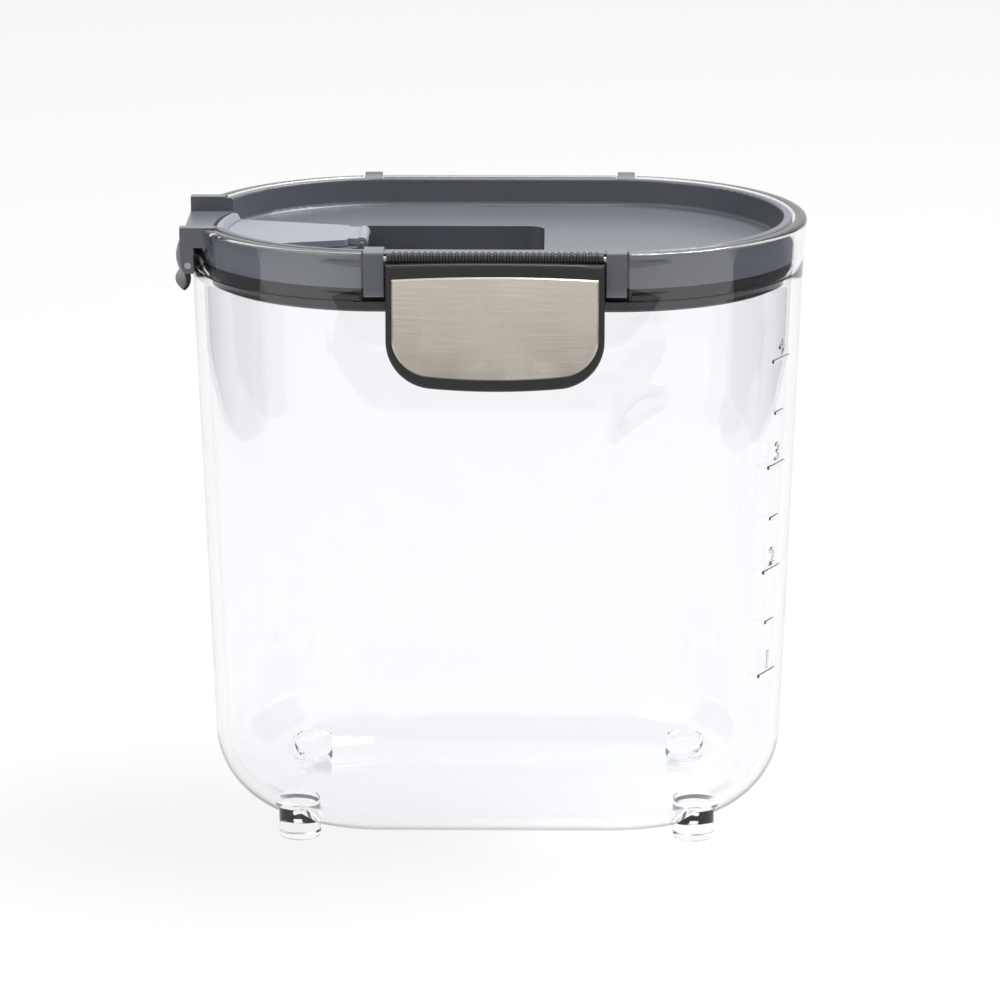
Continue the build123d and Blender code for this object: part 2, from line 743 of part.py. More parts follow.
# End latch: an S-shaped plate that follows the round end, with a barrel at each side
end_axis = Axis((-half_straight, 0, 0), (0, 0, 1))
end_rim_x = -half_straight - rim_radius
end_latch_angle = degrees(asin(end_latch_half / (rim_radius + end_latch_outer[2][0])))
with BuildPart() as end_plate:
    with BuildSketch(Plane.XZ):
        with BuildLine():
            outer_side = Spline(*[(end_rim_x - out, rim_height - d) for out, d in end_latch_outer])
            inner_side = Spline(*[(end_rim_x - out, rim_height - d) for out, d in end_latch_inner])
            Line(outer_side @ 1, inner_side @ 1)
            Line(inner_side @ 0, outer_side @ 0)
        make_face()
    revolve(axis=end_axis, revolution_arc=2 * end_latch_angle)
end_hook_tip = rim_radius - end_hook_reach
end_hook_z = rim_height - end_hook_drop
end_hook = end_ring(
    [
        (end_hook_tip, end_hook_z - end_hook_height),
        (rim_radius + end_hook_root, end_hook_z - 2 * end_hook_height),
        (rim_radius + end_hook_root, end_hook_z),
        (end_hook_tip, end_hook_z),
    ],
    end_hook_angle,
)
with BuildPart() as spout_latch:
    add(end_plate.part.rotate(end_axis, -end_latch_angle))
    add(end_hook)
    for side_y in (barrel_outer_y, -barrel_outer_y + end_barrel_length):
        with BuildSketch(Plane.XZ.offset(-side_y)):
            with Locations((end_pivot_x, end_pivot_z)):
                Circle(end_barrel_radius)
        extrude(amount=end_barrel_length)
    with BuildSketch(Plane.XZ.offset(-barrel_outer_y)):
        with Locations((end_pivot_x, end_pivot_z)):
            Circle(end_pin_radius + running_clearance)
    extrude(amount=2 * barrel_outer_y, mode=Mode.SUBTRACT)
spout_latch.part.label = "spout_latch"

with BuildPart() as spout_latch_pins:
    for side_y in (spout_side_y, -barrel_outer_y + end_barrel_length):
        with BuildSketch(Plane.XZ.offset(-side_y)):
            with Locations((end_pivot_x, end_pivot_z)):
                Circle(end_pin_radius)
        extrude(amount=spout_side_y - barrel_outer_y + end_barrel_length)
spout_latch_pins.part.label = "spout_latch_pins"

# The middle of the whole outline, from the plate to the back hinge and from the end latch to the rim
middle_x = -end_latch_outer[-1][0] / 2
middle_y = (hinge_y + hinge_radius + latch_front_y - plate_proud) / 2
to_origin = Location((-middle_x, -middle_y, 0))

os.makedirs("parts", exist_ok=True)
for piece in (container, lid_hinge_pin, lid_shell, lid_gasket, front_latch, latch_plate,
              front_latch_pin, spout_door, spout_door_pin, spout_seal, spout_latch,
              spout_latch_pins):
    placed = piece.part.moved(to_origin)
    placed.label = piece.part.label
    export_step(placed, "parts/" + placed.label + ".step")
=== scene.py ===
from math import cos, pi, radians, sin, sqrt, tan

import bpy
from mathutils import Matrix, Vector


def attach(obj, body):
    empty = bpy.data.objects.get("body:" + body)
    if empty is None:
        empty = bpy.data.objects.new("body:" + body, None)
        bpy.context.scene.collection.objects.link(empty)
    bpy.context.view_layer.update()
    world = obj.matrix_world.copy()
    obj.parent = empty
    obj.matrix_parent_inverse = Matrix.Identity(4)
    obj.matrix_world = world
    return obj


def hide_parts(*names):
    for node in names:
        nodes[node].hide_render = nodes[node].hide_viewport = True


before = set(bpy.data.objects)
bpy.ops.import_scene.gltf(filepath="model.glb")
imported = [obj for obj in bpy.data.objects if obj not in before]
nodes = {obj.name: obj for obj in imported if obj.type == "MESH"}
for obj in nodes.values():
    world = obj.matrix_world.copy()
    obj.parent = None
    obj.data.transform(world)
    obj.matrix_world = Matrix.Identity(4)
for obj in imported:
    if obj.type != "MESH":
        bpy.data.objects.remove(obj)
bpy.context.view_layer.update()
mm = 0.001

# The oval plan, in millimetres: its middle in the frame, half of its straight run, the narrow strips
# where the run meets the round end, and the rim's height
oval = {"middle": (1.7, 1.175), "halfStraight": 28.0, "endSteps": 96, "strip": 2, "rim": 152.4}


def deselectAll():
    if bpy.context.object and bpy.context.object.mode != "OBJECT":
        bpy.ops.object.mode_set(mode="OBJECT")
    bpy.ops.object.select_all(action="DESELECT")


def makeActive(piece):
    deselectAll()
    piece.select_set(True)
    bpy.context.view_layer.objects.active = piece


# Materials
def toLinear(hexColour):
    channels = [int(hexColour[i:i + 2], 16) / 255 for i in (1, 3, 5)]
    return tuple(c / 12.92 if c <= 0.04045 else ((c + 0.055) / 1.055) ** 2.4 for c in channels) + (1.0,)


def addNode(tree, kind, settings=None, inputs=None, links=None):
    # One node with its settings, its plain input values and what feeds it
    node = tree.nodes.new(kind)
    for name, value in (settings or {}).items():
        setattr(node, name, value)
    for socket, value in (inputs or {}).items():
        node.inputs[socket].default_value = value
    for socket, source in (links or {}).items():
        tree.links.new(source, node.inputs[socket])
    return node


def newMaterial(name):
    material = bpy.data.materials.new(name)
    material.use_nodes = True
    tree = material.node_tree
    tree.nodes.clear()
    output = addNode(tree, "ShaderNodeOutputMaterial")
    return material, tree, output


def mouldedPlastic(name, colour, darker, roughness, grain, bumpHeight, sheen=0.5):
    # Injection-moulded ABS: a fine spark-eroded texture that breaks the gloss, and slightly uneven tone
    material, tree, output = newMaterial(name)
    place = addNode(tree, "ShaderNodeTexCoord").outputs["Object"]
    fine = addNode(tree, "ShaderNodeTexNoise", inputs={"Scale": 1 / (grain * mm), "Detail": 2.0},
                   links={"Vector": place})
    broad = addNode(tree, "ShaderNodeTexNoise", inputs={"Scale": 1 / (30 * mm), "Detail": 3.0},
                    links={"Vector": place})
    tone = addNode(tree, "ShaderNodeMix", {"data_type": "RGBA"}, {6: toLinear(colour), 7: toLinear(darker)},
                   {0: broad.outputs["Fac"]})
    rough = addNode(tree, "ShaderNodeMapRange",
                    inputs={"From Min": 0.3, "From Max": 0.7,
                            "To Min": roughness - 0.05, "To Max": roughness + 0.05},
                    links={"Value": fine.outputs["Fac"]})
    bump = addNode(tree, "ShaderNodeBump", inputs={"Strength": 0.5, "Distance": bumpHeight * mm},
                   links={"Height": fine.outputs["Fac"]})
    shader = addNode(tree, "ShaderNodeBsdfPrincipled",
                     inputs={"IOR": 1.5, "Specular IOR Level": sheen},
                     links={"Base Color": tone.outputs[2], "Roughness": rough.outputs["Result"],
                            "Normal": bump.outputs["Normal"]})
    tree.links.new(shader.outputs["BSDF"], output.inputs["Surface"])
    return material


def clearCopolyester():
    # Injection-moulded clear copolyester: glassy and bright, a cool tint, very faint moulding ripple
    material, tree, output = newMaterial("clearMouldedCopolyester")
    place = addNode(tree, "ShaderNodeTexCoord").outputs["Object"]
    ripple = addNode(tree, "ShaderNodeTexNoise", inputs={"Scale": 1 / (22 * mm), "Detail": 1.0},
                     links={"Vector": place})
    haze = addNode(tree, "ShaderNodeTexNoise", inputs={"Scale": 1 / (9 * mm), "Detail": 3.0},
                   links={"Vector": place})
    bump = addNode(tree, "ShaderNodeBump", inputs={"Strength": 0.25, "Distance": 0.08 * mm},
                   links={"Height": ripple.outputs["Fac"]})
    rough = addNode(tree, "ShaderNodeMapRange",
                    inputs={"From Min": 0.35, "From Max": 0.75, "To Min": 0.008, "To Max": 0.03},
                    links={"Value": haze.outputs["Fac"]})
    tint = addNode(tree, "ShaderNodeMix", {"data_type": "RGBA"},
                   {6: toLinear("#fafbfd"), 7: toLinear("#fdfdfe")}, {0: haze.outputs["Fac"]})
    shader = addNode(tree, "ShaderNodeBsdfPrincipled",
                     inputs={"IOR": 1.54, "Transmission Weight": 1.0},
                     links={"Base Color": tint.outputs[2], "Roughness": rough.outputs["Result"],
                            "Normal": bump.outputs["Normal"]})
    # Lamps shine through to what is inside, as they do through a thin clear wall
    path = addNode(tree, "ShaderNodeLightPath")
    lets = addNode(tree, "ShaderNodeBsdfTransparent", inputs={"Color": toLinear("#f4f6f9")})
    mix = addNode(tree, "ShaderNodeMixShader",
                  links={0: path.outputs["Is Shadow Ray"], 1: shader.outputs["BSDF"],
                         2: lets.outputs["BSDF"]})
    tree.links.new(mix.outputs["Shader"], output.inputs["Surface"])
    return material


def brushedStainless():
    # Brushed stainless steel: long fine scratches along the plate give soft streaks, warm and bright
    material, tree, output = newMaterial("brushedStainless")
    place = addNode(tree, "ShaderNodeTexCoord").outputs["Object"]
    along = addNode(tree, "ShaderNodeMapping", inputs={"Scale": (0.02, 1.0, 1.0)}, links={"Vector": place})
    # Real scratches are about 0.05 mm apart; 0.25 mm is as fine as the picture can show
    lines = addNode(tree, "ShaderNodeTexNoise",
                    inputs={"Scale": 1 / (0.25 * mm), "Detail": 4.0, "Roughness": 0.6},
                    links={"Vector": along.outputs["Vector"]})
    clouds = addNode(tree, "ShaderNodeTexNoise", inputs={"Scale": 1 / (12 * mm), "Detail": 2.0},
                     links={"Vector": place})
    tone = addNode(tree, "ShaderNodeMix", {"data_type": "RGBA"},
                   {6: toLinear("#c9c0b4"), 7: toLinear("#e3dcd1")}, {0: lines.outputs["Fac"]})
    rough = addNode(tree, "ShaderNodeMapRange",
                    inputs={"From Min": 0.3, "From Max": 0.7, "To Min": 0.2, "To Max": 0.32},
                    links={"Value": clouds.outputs["Fac"]})
    bump = addNode(tree, "ShaderNodeBump", inputs={"Strength": 0.25, "Distance": 0.02 * mm},
                   links={"Height": lines.outputs["Fac"]})
    shader = addNode(tree, "ShaderNodeBsdfPrincipled", inputs={"Metallic": 1.0, "Anisotropic": 0.6},
                     links={"Base Color": tone.outputs[2], "Roughness": rough.outputs["Result"],
                            "Normal": bump.outputs["Normal"]})
    tree.links.new(shader.outputs["BSDF"], output.inputs["Surface"])
    return material


def drawnSteel():
    # Drawn stainless wire: fine lines along the pin, a dull bright grey
    material, tree, output = newMaterial("drawnSteelWire")
    place = addNode(tree, "ShaderNodeTexCoord").outputs["Object"]
    lines = addNode(tree, "ShaderNodeTexNoise", inputs={"Scale": 1 / (0.3 * mm), "Detail": 3.0},
                    links={"Vector": place})
    tone = addNode(tree, "ShaderNodeMix", {"data_type": "RGBA"},
                   {6: toLinear("#9a9a99"), 7: toLinear("#b8b8b6")}, {0: lines.outputs["Fac"]})
    rough = addNode(tree, "ShaderNodeMapRange",
                    inputs={"To Min": 0.25, "To Max": 0.4}, links={"Value": lines.outputs["Fac"]})
    shader = addNode(tree, "ShaderNodeBsdfPrincipled", inputs={"Metallic": 1.0},
                     links={"Base Color": tone.outputs[2], "Roughness": rough.outputs["Result"]})
    tree.links.new(shader.outputs["BSDF"], output.inputs["Surface"])
    return material


greyAbs = mouldedPlastic("satinGreyAbs", "#63666d", "#5d6067", 0.33, 0.5, 0.015)
# The door is the lid's own grey plastic. Its lighter grey is painted light, standing in for its up-facing top
# lit from above and reflecting the bright surroundings
doorAbsPaintedLit = mouldedPlastic("doorGreyAbsPaintedLit", "#9396a0", "#8d9099", 0.42, 0.5, 0.015)
blackAbs = mouldedPlastic("satinBlackAbs", "#161618", "#1c1c1e", 0.36, 0.5, 0.02)
silicone = mouldedPlastic("blackSilicone", "#0d0d0f", "#131315", 0.6, 0.8, 0.01, 0.3)
clearBody = clearCopolyester()
steelPlate = brushedStainless()
steelPin = drawnSteel()
print("materials ready")


# Pieces
def place(piece, body, slot, *replaced):
    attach(piece, body)
    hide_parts(*replaced)
    print("placed", piece.name)


def refinish(node, material):
    nodes[node].data.materials.clear()
    nodes[node].data.materials.append(material)


def roundedOutline(corners):
    # Corners are (radius, height, rounding); a rounding becomes a smooth arc of short steps
    outline = []
    for i, (r, z, rounding) in enumerate(corners):
        here = Vector((r, z))
        if not rounding:
            outline.append(here)
            continue
        before = (Vector(corners[i - 1][:2]) - here).normalized()
        after = (Vector(corners[(i + 1) % len(corners)][:2]) - here).normalized()
        half = before.angle(after) / 2
        middle = here + (before + after).normalized() * rounding / sin(half)
        start = here + before * rounding / tan(half) - middle
        end = here + after * rounding / tan(half) - middle
        steps = 14 if rounding > 5 else 5
        turn = start.angle_signed(end)
        for k in range(steps + 1):
            angle = -turn * k / steps
            outline.append(middle + Vector((start.x * cos(angle) - start.y * sin(angle),
                                            start.x * sin(angle) + start.y * cos(angle))))
    return outline


def withSteps(outline, longest):
    # Long straight sides are divided, so that the wall can be shaped later
    divided = []
    for start, end in zip(outline, outline[1:]):
        parts = max(1, int((end - start).length / longest))
        divided += [start.lerp(end, k / parts) for k in range(parts)]
    return divided + outline[-1:]


def selectEdges(piece, chosen):
    # Leaves the piece in edit mode with the edges selected whose two ends both pass. Edge mode stays
    # on afterwards. A fault: spinOval and drawnBar then can't select the point they start from, so
    # whatever they draw after the first spin comes out as one or two points
    makeActive(piece)
    bpy.ops.object.mode_set(mode="EDIT")
    bpy.ops.mesh.select_mode(type="EDGE")
    bpy.ops.mesh.select_all(action="DESELECT")
    bpy.ops.object.mode_set(mode="OBJECT")
    for edge in piece.data.edges:
        edge.select = all(chosen(piece.data.vertices[i].co) for i in edge.vertices)
    bpy.ops.object.mode_set(mode="EDIT")


def spinOval(name, outline, steps):
    # An outline that starts and ends on the axis is drawn from one point, spun round one end,
    # drawn out to the middle and mirrored
    half = oval["halfStraight"]
    strip = oval["strip"]
    deselectAll()
    bpy.ops.mesh.primitive_plane_add(size=2 * mm, location=(0, 0, 0))
    piece = bpy.context.object
    piece.name = name
    bpy.ops.object.mode_set(mode="EDIT")
    bpy.ops.mesh.select_all(action="SELECT")
    bpy.ops.mesh.merge(type="CENTER")
    bpy.ops.mesh.select_all(action="SELECT")
    first = outline[0]
    bpy.ops.transform.translate(value=(half * mm, -first.x * mm, first.y * mm))
    for start, end in zip(outline, outline[1:]):
        step = (end - start) * mm
        bpy.ops.mesh.extrude_region_move(TRANSFORM_OT_translate={"value": (0, -step.x, step.y)})
    bpy.ops.mesh.select_all(action="SELECT")
    bpy.ops.mesh.remove_doubles(threshold=1e-6)
    bpy.ops.mesh.select_all(action="SELECT")
    bpy.ops.mesh.spin(steps=steps, angle=-pi, center=(half * mm, 0, 0), axis=(0, 0, 1))
    bpy.ops.mesh.select_all(action="SELECT")
    bpy.ops.mesh.remove_doubles(threshold=1e-6)
    for step in (strip, strip, strip, half - 3 * strip):
        bpy.ops.object.mode_set(mode="OBJECT")
        lowest = min(v.co.x for v in piece.data.vertices)
        selectEdges(piece, lambda place: place.x < lowest + 1e-6)
        bpy.ops.mesh.extrude_region_move(TRANSFORM_OT_translate={"value": (-step * mm, 0, 0)})
    bpy.ops.object.mode_set(mode="OBJECT")
    piece.modifiers.new("otherEnd", "MIRROR")
    piece.modifiers["otherEnd"].merge_threshold = 1e-5
    bpy.ops.object.modifier_apply(modifier="otherEnd")
    faceOutwards(piece)
    return piece


def faceOutwards(piece):
    makeActive(piece)
    bpy.ops.object.mode_set(mode="EDIT")
    bpy.ops.mesh.select_all(action="SELECT")
    bpy.ops.mesh.remove_doubles(threshold=1e-6)
    bpy.ops.mesh.select_all(action="SELECT")
    bpy.ops.mesh.normals_make_consistent(inside=False)
    bpy.ops.object.mode_set(mode="OBJECT")


def block(low, high, rounding=0):
    # A block between two corners, with its edges eased
    deselectAll()
    bpy.ops.mesh.primitive_cube_add(size=1)
    piece = bpy.context.object
    bpy.ops.object.mode_set(mode="EDIT")
    bpy.ops.mesh.select_all(action="SELECT")
    bpy.ops.transform.resize(value=tuple((h - l) * mm for l, h in zip(low, high)))
    bpy.ops.transform.translate(value=tuple((h + l) / 2 * mm for l, h in zip(low, high)))
    if rounding:
        bpy.ops.mesh.bevel(offset=rounding * mm, segments=3, affect="EDGES")
    bpy.ops.object.mode_set(mode="OBJECT")
    return piece


def drawnBar(points, along, low, high):
    # A profile of (first, second) points drawn out between two places along an axis (0 for X)
    deselectAll()
    bpy.ops.mesh.primitive_plane_add(size=2 * mm, location=(0, 0, 0))
    piece = bpy.context.object
    others = [axis for axis in range(3) if axis != along]
    bpy.ops.object.mode_set(mode="EDIT")
    bpy.ops.mesh.select_all(action="SELECT")
    bpy.ops.mesh.merge(type="CENTER")
    bpy.ops.mesh.select_all(action="SELECT")

    def spot(point):
        place = [0, 0, 0]
        place[along] = low * mm
        place[others[0]], place[others[1]] = point[0] * mm, point[1] * mm
        return Vector(place)

    bpy.ops.transform.translate(value=spot(points[0]))
    for start, end in zip(points, points[1:] + points[:1]):
        bpy.ops.mesh.extrude_region_move(TRANSFORM_OT_translate={"value": spot(end) - spot(start)})
    bpy.ops.mesh.select_all(action="SELECT")
    bpy.ops.mesh.remove_doubles(threshold=1e-7)
    bpy.ops.mesh.select_all(action="SELECT")
    bpy.ops.mesh.edge_face_add()
    draw = [0, 0, 0]
    draw[along] = (high - low) * mm
    bpy.ops.mesh.extrude_region_move(TRANSFORM_OT_translate={"value": draw})
    bpy.ops.object.mode_set(mode="OBJECT")
    faceOutwards(piece)
    return piece


def combine(piece, others, operation):
    # Joins or cuts with several shapes, one after another
    for other in others:
        makeActive(piece)
        step = piece.modifiers.new("combine", "BOOLEAN")
        step.operation = operation
        step.solver = "EXACT"
        step.object = other
        bpy.ops.object.modifier_apply(modifier="combine")
        bpy.data.objects.remove(other)


def finishPiece(piece, name, material, angle=28):
    # Moves a piece from the oval's middle to its place in the frame and gives it its finish
    piece.name = name
    makeActive(piece)
    bpy.ops.object.mode_set(mode="EDIT")
    bpy.ops.mesh.select_all(action="SELECT")
    bpy.ops.transform.translate(value=(oval["middle"][0] * mm, oval["middle"][1] * mm, 0))
    bpy.ops.object.mode_set(mode="OBJECT")
    bpy.ops.object.shade_smooth_by_angle(angle=radians(angle))
    piece.data.materials.clear()
    piece.data.materials.append(material)


def softStep(value):
    value = min(1.0, max(0.0, value))
    return value * value * (3 - 2 * value)


# Clear container: wall lines as (end radius, height), then what stands on and is cut from them
body = {
    "foot": 1.4, "baseRadius": 42.4, "neckRadius": 47.3, "rimRadius": 48.0, "flare": 8.0, "wall": 2.8,
    "floorThickness": 3.0, "baseRounding": 20.0, "collarBore": 45.0, "ledge": 12.0, "rimRounding": 0.9,
    "boreRounding": 0.4, "ledgeRounding": 0.3, "seatRounding": 0.2, "wallStep": 2.6,
    "gripMiddle": 43.0, "gripRadius": 18.5, "gripTop": 119.0, "gripBottom": 22, "gripDepth": 0.5,
    "gripEdge": 5.0, "gripStep": 0.3,
    "markAngle": -28.0, "firstMark": 41.0, "markPitch": 13.35, "markCount": 7,
    "hingeAxis": (49.3, 150.7), "hingeRadius": 2.1, "hingePin": 1.02, "boreLength": 80,
    "bracketHalf": 29.6, "bracketInner": 45.2, "bracketDrop": 9.0, "intoWall": 1.4,
    "catchDrop": 22.6, "catchReach": 1.9, "catchLip": 0.7, "catchHeight": 2.8, "catchHalf": 18,
}
rimZ = oval["rim"]
neckZ = rimZ - body["flare"]


def wallRadius(height):
    share = (height - body["foot"]) / (neckZ - body["foot"])
    return body["baseRadius"] + (body["neckRadius"] - body["baseRadius"]) * share


innerFloor = body["foot"] + body["floorThickness"]
ledgeZ = rimZ - body["ledge"]
innerRounding = body["baseRounding"] - body["wall"]
wallOutline = roundedOutline([
    (0, body["foot"], 0),
    (body["baseRadius"], body["foot"], body["baseRounding"]),
    (body["neckRadius"], neckZ, 0),
    (body["rimRadius"], rimZ, body["rimRounding"]),
    (body["collarBore"], rimZ, body["boreRounding"]),
    (body["collarBore"], ledgeZ, body["ledgeRounding"]),
    (wallRadius(ledgeZ) - body["wall"], ledgeZ, body["seatRounding"]),
    (wallRadius(innerFloor) - body["wall"], innerFloor, innerRounding),
    (0, innerFloor, 0),
])
container = spinOval("clearContainer", withSteps(wallOutline, body["wallStep"]), oval["endSteps"])
print("container spun", len(container.data.vertices), "points")

# Hand recess at the +X half: heights between which points may move, how far from the wall line they may
# lie, the rounded bend below bendTop as a circle, and the height over which the recess fades out
recess = {
    "lowest": 6, "highest": 125, "reach": 20, "wallSlack": 0.2, "bendTop": 24, "bendInset": 19.3,
    "bendZ": 21.4, "bendRadius": 18.6, "fadeStart": 8, "fadeLength": 24, "cutterReach": 60,
}
archZ = body["gripTop"] - body["gripRadius"]
bendMiddle = body["baseRadius"] - recess["bendInset"]


def onOuterWall(radius, z):
    if z > recess["bendTop"]:
        return radius > wallRadius(z) - recess["wallSlack"]
    fromBend = sqrt((radius - bendMiddle) ** 2 + (z - recess["bendZ"]) ** 2)
    return fromBend > recess["bendRadius"] and radius > bendMiddle


# The outer wall sinks softly inside an arch, front and back, and fades out at the base
for vertex in container.data.vertices:
    x, y, z = vertex.co / mm
    beyond = max(0.0, abs(x) - oval["halfStraight"])
    radius = sqrt(beyond ** 2 + y ** 2)
    if z < recess["lowest"] or z > recess["highest"] or x < 0:
        continue
    if abs(radius - wallRadius(z)) > recess["reach"] or not onOuterWall(radius, z):
        continue
    across = x - body["gripMiddle"]
    up = max(0.0, z - archZ)
    inside = body["gripRadius"] - sqrt(across ** 2 + up ** 2)
    fade = softStep((z - recess["fadeStart"]) / recess["fadeLength"])
    depth = body["gripDepth"] * softStep(inside / body["gripEdge"]) * fade
    if depth > 0:
        outwards = Vector((beyond, y, 0)).normalized()
        vertex.co -= outwards * depth * mm

# A low crisp step should follow the arch's edge. By the fault noted in selectEdges its cutter comes out
# empty, so nothing is cut
stepInset = body["gripStep"]
insideWall = spinOval("insideWall", roundedOutline([
    (0, body["foot"], 0),
    (body["baseRadius"] - stepInset, body["foot"], body["baseRounding"]),
    (body["neckRadius"] - stepInset, neckZ, 0),
    (0, neckZ, 0),
]), oval["endSteps"])
archSide = [(body["gripMiddle"] + body["gripRadius"] * cos(radians(a)),
             archZ + body["gripRadius"] * sin(radians(a))) for a in range(0, 181, 5)]
gripCutter = drawnBar(archSide + [(body["gripMiddle"] - body["gripRadius"], body["gripBottom"]),
                                  (body["gripMiddle"] + body["gripRadius"], body["gripBottom"])],
                      1, -recess["cutterReach"], recess["cutterReach"])
combine(gripCutter, [insideWall], "DIFFERENCE")
combine(container, [gripCutter], "DIFFERENCE")
print("recess sunk into the wall, its crisp step is missing")

# Hinge bracket and latch catch. By the same fault both come out as one point, so the container has
# neither. The catch for the clip at the pouring end is in the CAD container only
hingeY, hingeZ = body["hingeAxis"]
bracketLow = rimZ - body["bracketDrop"]
barrelArc = [(hingeY + body["hingeRadius"] * cos(radians(a)),
              hingeZ + body["hingeRadius"] * sin(radians(a))) for a in range(54, -1, -9)]
bracket = drawnBar([(body["bracketInner"], rimZ), (hingeY, rimZ)] + barrelArc
                   + [(hingeY + body["hingeRadius"], hingeZ - 1),
                      (wallRadius(bracketLow) - body["intoWall"], bracketLow)],
                   0, -body["bracketHalf"], body["bracketHalf"])
catchZ = rimZ - body["catchDrop"]
catchY = -wallRadius(catchZ)
catch = drawnBar([(catchY + body["intoWall"], catchZ), (catchY - body["catchReach"], catchZ),
                  (catchY - body["catchReach"], catchZ + body["catchLip"]),
                  (catchY + body["intoWall"], catchZ + body["catchHeight"])],
                 0, -body["catchHalf"], body["catchHalf"])

footing = {"radius": 5.2, "height": 9.6, "rounding": 0.8, "alongX": 48.8, "alongY": 26.0}


def footPost(x, y):
    # A short round foot whose lower edge is well rounded; the rest stays inside the wall
    deselectAll()
    bpy.ops.mesh.primitive_cylinder_add(vertices=48, radius=footing["radius"] * mm, depth=1,
                                        location=(0, 0, 0.5))
    post = bpy.context.object
    bpy.ops.object.mode_set(mode="EDIT")
    bpy.ops.mesh.select_all(action="SELECT")
    bpy.ops.transform.resize(value=(1, 1, footing["height"] * mm))
    bpy.ops.object.mode_set(mode="OBJECT")
    bpy.ops.object.transform_apply(location=True, rotation=True, scale=True)
    lowest = min(v.co.z for v in post.data.vertices)
    for v in post.data.vertices:
        v.co.z -= lowest
    selectEdges(post, lambda place: place.z < 1e-6)
    bpy.ops.mesh.bevel(offset=footing["rounding"] * mm, segments=5, affect="EDGES")
    bpy.ops.mesh.select_all(action="SELECT")
    bpy.ops.transform.translate(value=(x * mm, y * mm, 0))
    bpy.ops.object.mode_set(mode="OBJECT")
    faceOutwards(post)
    return post


feet = [footPost(sx * footing["alongX"], sy * footing["alongY"]) for sx in (-1, 1) for sy in (-1, 1)]
combine(container, [bracket, catch] + feet, "UNION")
print("feet joined, bracket and catch are missing")

# Cuts in the collar: a gap for the front latch, slots for the lid's two hinge ears and a pouring gap.
# inner and outer are the sides of a cut through the long walls, endInner and endOuter at the end
gaps = {
    "latchHalf": 31.7, "latchLow": 140.8, "earInner": 29.6, "earOuter": 34.8, "earLow": 146.8,
    "pourHalf": 21.0, "pourLow": 145.0, "inner": 36, "outer": 60, "endInner": 52, "endOuter": 100, "top": 160,
}
cuts = [
    block((-gaps["latchHalf"], -gaps["outer"], gaps["latchLow"]),
          (gaps["latchHalf"], -gaps["inner"], gaps["top"])),
    block((-gaps["earOuter"], gaps["inner"], gaps["earLow"]),
          (-gaps["earInner"], gaps["outer"], gaps["top"])),
    block((gaps["earInner"], gaps["inner"], gaps["earLow"]),
          (gaps["earOuter"], gaps["outer"], gaps["top"])),
    block((-gaps["endOuter"], -gaps["pourHalf"], gaps["pourLow"]),
          (-gaps["endInner"], gaps["pourHalf"], gaps["top"])),
]
combine(container, cuts, "DIFFERENCE")
deselectAll()
bpy.ops.mesh.primitive_cylinder_add(vertices=24, radius=body["hingePin"] * mm,
                                    depth=body["boreLength"] * mm,
                                    location=(0, hingeY * mm, hingeZ * mm), rotation=(0, pi / 2, 0))
bore = bpy.context.object
bpy.ops.object.transform_apply(location=True, rotation=True, scale=True)
combine(container, [bore], "DIFFERENCE")
print("collar cut")

# Measuring marks and plain numbers on the end wall
markBar = {"short": 2.25, "long": 4.5, "sunk": 0.5, "raised": 0.32, "halfHeight": 0.4, "easing": 0.12}
number = {"count": 4, "size": 6.5, "depth": 0.15, "bevel": 0.04, "lift": 0.16, "rise": 1.2}


def turned(piece, height):
    # Lays a flat shape that was drawn about the origin, facing +X, on the end wall at the marks' angle
    angle = radians(body["markAngle"])
    for v in piece.data.vertices:
        x, y, z = v.co
        reach = wallRadius(height + z / mm) * mm + x
        v.co = Vector((oval["halfStraight"] * mm + cos(angle) * reach - sin(angle) * y,
                       sin(angle) * reach + cos(angle) * y, height * mm + z))
    return piece


marks = []
for k in range(body["markCount"]):
    halfLength = markBar["short"] if k % 2 else markBar["long"]
    bar = block((-markBar["sunk"], -halfLength, -markBar["halfHeight"]),
                (markBar["raised"], halfLength, markBar["halfHeight"]), markBar["easing"])
    marks.append(turned(bar, body["firstMark"] + k * body["markPitch"]))
combine(container, marks, "UNION")
finishPiece(container, "clearContainer", clearBody, 24)
place(container, "base", "clear_body", "container")
print("container finished", len(container.data.polygons), "faces")

numerals = []
for k in range(number["count"]):
    deselectAll()
    bpy.ops.object.text_add()
    text = bpy.context.object
    text.data.body = str(k + 1)
    text.data.size = number["size"] * mm
    text.data.extrude = number["depth"] * mm
    text.data.bevel_depth = number["bevel"] * mm
    text.data.align_x = "CENTER"
    bpy.ops.object.convert(target="MESH")
    for v in text.data.vertices:
        x, y, z = v.co
        v.co = Vector((z + number["lift"] * mm, x, y))
    numerals.append(turned(text, body["firstMark"] + 2 * k * body["markPitch"] + number["rise"]))
deselectAll()
for text in numerals:
    text.select_set(True)
bpy.context.view_layer.objects.active = numerals[0]
bpy.ops.object.join()
faceOutwards(numerals[0])
finishPiece(numerals[0], "scaleNumerals", clearBody, 30)
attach(numerals[0], "base")
print("numerals placed")

refinish("lid_shell", greyAbs)
refinish("spout_door", doorAbsPaintedLit)
refinish("front_latch", blackAbs)
refinish("latch_plate", steelPlate)
refinish("spout_latch", blackAbs)
refinish("lid_gasket", silicone)
refinish("spout_seal", silicone)
for pin in ("lid_hinge_pin", "front_latch_pin", "spout_door_pin", "spout_latch_pins"):
    refinish(pin, steelPin)
print("pieces ready")

# Studio
studio = {"floorHalf": 3.0, "worldLight": 0.3, "keyPower": 19.0, "fillPower": 2.5}


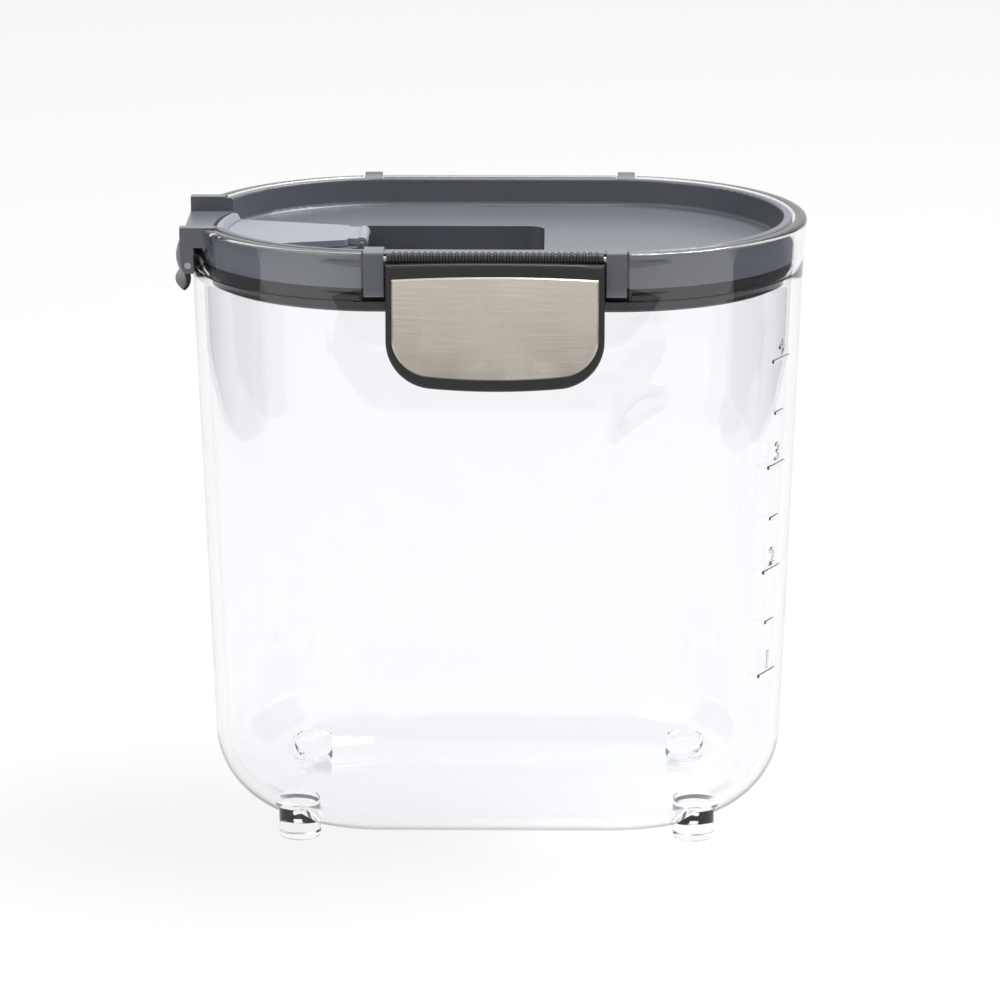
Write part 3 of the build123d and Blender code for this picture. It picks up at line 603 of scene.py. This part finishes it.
def whiteBackdrop():
    # Paper-white sweep: white to the eye, and the object's soft shadow still shows on it
    material, tree, output = newMaterial("whitePaperFloor")
    paper = addNode(tree, "ShaderNodeBsdfDiffuse", inputs={"Color": toLinear("#f2f2f2")})
    white = addNode(tree, "ShaderNodeEmission", inputs={"Strength": 1.0})
    shade = addNode(tree, "ShaderNodeMixShader", inputs={0: 0.85},
                    links={1: paper.outputs["BSDF"], 2: white.outputs["Emission"]})
    path = addNode(tree, "ShaderNodeLightPath")
    direct = addNode(tree, "ShaderNodeMath", {"operation": "MAXIMUM"},
                     links={0: path.outputs["Is Camera Ray"], 1: path.outputs["Is Transmission Ray"]})
    seen = addNode(tree, "ShaderNodeMath", {"operation": "MAXIMUM"},
                   links={0: direct.outputs[0], 1: path.outputs["Is Glossy Ray"]})
    pick = addNode(tree, "ShaderNodeMixShader",
                   links={0: seen.outputs[0], 1: paper.outputs["BSDF"], 2: shade.outputs["Shader"]})
    tree.links.new(pick.outputs["Shader"], output.inputs["Surface"])
    return material


deselectAll()
bpy.ops.mesh.primitive_plane_add(size=2 * studio["floorHalf"], location=(0, 0, 0))
floor = bpy.context.object
floor.name = "floor"
floor.data.materials.append(whiteBackdrop())


def darkCard(name, centre, size, turn, grey):
    # A grey card outside the picture gives clear and metal edges something darker to show
    deselectAll()
    bpy.ops.mesh.primitive_plane_add(size=1, location=centre, rotation=turn)
    card = bpy.context.object
    card.name = name
    card.scale = (size[0], size[1], 1)
    material, tree, output = newMaterial(name + "Paper")
    paper = addNode(tree, "ShaderNodeBsdfDiffuse", inputs={"Color": toLinear(grey)})
    tree.links.new(paper.outputs["BSDF"], output.inputs["Surface"])
    card.data.materials.append(material)
    card.visible_camera = False


darkCard("leftCard", (-0.36, 0.1, 0.16), (0.3, 0.4), (0, radians(90), 0), "#77777b")
darkCard("rightCard", (0.36, 0.1, 0.16), (0.3, 0.4), (0, radians(90), 0), "#77777b")
darkCard("frontCard", (0, -0.52, 0.002), (0.7, 0.13), (0, 0, 0), "#1e1c1c")

world = bpy.data.worlds.new("studioWorld")
bpy.context.scene.world = world
world.use_nodes = True
worldTree = world.node_tree
worldTree.nodes.clear()
worldOut = addNode(worldTree, "ShaderNodeOutputWorld")
ambient = addNode(worldTree, "ShaderNodeBackground",
                  inputs={"Color": (1, 1, 1, 1), "Strength": studio["worldLight"]})
backdrop = addNode(worldTree, "ShaderNodeBackground", inputs={"Color": (1, 1, 1, 1), "Strength": 1.0})
worldPath = addNode(worldTree, "ShaderNodeLightPath")
worldDirect = addNode(worldTree, "ShaderNodeMath", {"operation": "MAXIMUM"},
                      links={0: worldPath.outputs["Is Camera Ray"],
                             1: worldPath.outputs["Is Transmission Ray"]})
worldSeen = addNode(worldTree, "ShaderNodeMath", {"operation": "MAXIMUM"},
                    links={0: worldDirect.outputs[0], 1: worldPath.outputs["Is Glossy Ray"]})
worldMix = addNode(worldTree, "ShaderNodeMixShader",
                   links={0: worldSeen.outputs[0], 1: ambient.outputs["Background"],
                          2: backdrop.outputs["Background"]})
worldTree.links.new(worldMix.outputs["Shader"], worldOut.inputs["Surface"])


def softLamp(name, centre, target, size, power):
    lamp = bpy.data.lights.new(name, "AREA")
    lamp.shape = "RECTANGLE"
    lamp.size, lamp.size_y = size
    lamp.energy = power
    holder = bpy.data.objects.new(name, lamp)
    bpy.context.scene.collection.objects.link(holder)
    holder.location = centre
    holder.rotation_euler = (Vector(target) - Vector(centre)).to_track_quat("-Z", "Y").to_euler()


softLamp("keyLamp", (0.4, 0.15, 1.2), (0, 0, 0.08), (0.6, 0.6), studio["keyPower"])
softLamp("fillLamp", (-0.7, -0.6, 0.75), (0, 0, 0.1), (0.7, 0.7), studio["fillPower"])

# Camera fitted to the photograph
view = {"place": (0.01614, -1.156025, 0.3935), "pitch": 0.2652, "yaw": 0.012, "lens": 172.9}
cameraData = bpy.data.cameras.new("camera")
cameraData.sensor_fit = "HORIZONTAL"
cameraData.sensor_width = 36.0
cameraData.lens = view["lens"]
cameraData.clip_start = 0.01
camera = bpy.data.objects.new("camera", cameraData)
camera.location = view["place"]
camera.rotation_euler = (pi / 2 - view["pitch"], 0, view["yaw"])
bpy.context.scene.collection.objects.link(camera)
bpy.context.scene.camera = camera
bpy.context.scene.view_settings.view_transform = "Standard"
print("studio ready")
